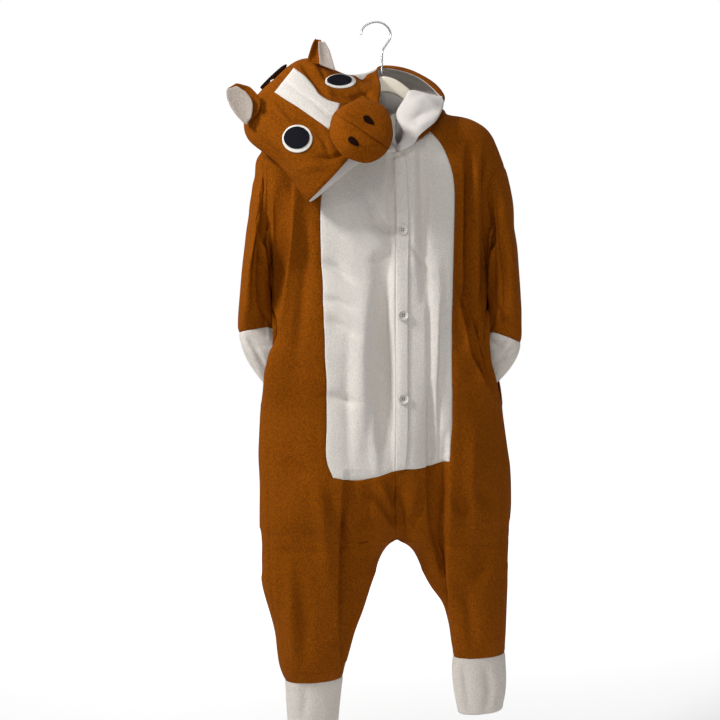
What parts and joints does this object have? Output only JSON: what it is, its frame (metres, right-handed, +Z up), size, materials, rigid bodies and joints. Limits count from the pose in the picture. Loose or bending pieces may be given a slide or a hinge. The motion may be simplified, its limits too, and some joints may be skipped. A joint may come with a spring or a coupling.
{
  "type": "horse bodysuit costume on a hanger",
  "caption": "Long-sleeved fleece horse bodysuit with hood, ears, pale front panel, front placket and trouser legs, hanging open from a hanger.",
  "frame": {"origin": "inside top of the hanger's hook, where it rests on a rail", "axes": "+Z up, -Y out of the costume's front, +X to the viewer's right"},
  "size_m": [0.4659, 0.2436, 1.1391],
  "materials": {
    "brown_fleece": "brushed polar fleece, soft nap",
    "white_fleece": "brushed polar fleece, soft nap",
    "cuff_fleece": "ribbed grey-beige knit",
    "lining": "smooth woven lining",
    "eye_white": "felt",
    "pupil": "dark felt",
    "nostril": "dark felt",
    "mane": "dark pile",
    "button": "moulded, slightly glossy",
    "hanger": "plain cream moulding",
    "hook_steel": "bright wire"
  },
  "bodies": {
    "root": {"front_right": "brown_fleece", "back_right": "brown_fleece", "belly_right": "white_fleece", "sleeve_right": "brown_fleece", "sleeve_cuff_right": "cuff_fleece", "leg_cuff_right": "cuff_fleece", "front_left": "brown_fleece", "back_left": "brown_fleece", "belly_left": "white_fleece", "sleeve_left": "brown_fleece", "sleeve_cuff_left": "cuff_fleece", "leg_cuff_left": "cuff_fleece", "hood_left": "brown_fleece", "hood_lining_left": "lining", "hood_right": "brown_fleece", "hood_lining_right": "lining", "blaze": "white_fleece", "eye_right": "eye_white", "pupil_right": "pupil", "eye_left": "eye_white", "pupil_left": "pupil", "muzzle": "brown_fleece", "nostril_left": "nostril", "nostril_right": "nostril", "ear_outer_right": "brown_fleece", "ear_inner_right": "white_fleece", "ear_outer_left": "brown_fleece", "ear_inner_left": "white_fleece", "mane": "mane", "placket": "white_fleece", "button_1": "button", "button_2": "button", "button_3": "button", "pocket_right": "brown_fleece", "pocket_left": "brown_fleece", "hanger": "hanger", "hanger_hook": "hook_steel"}
  },
  "joints": []
}
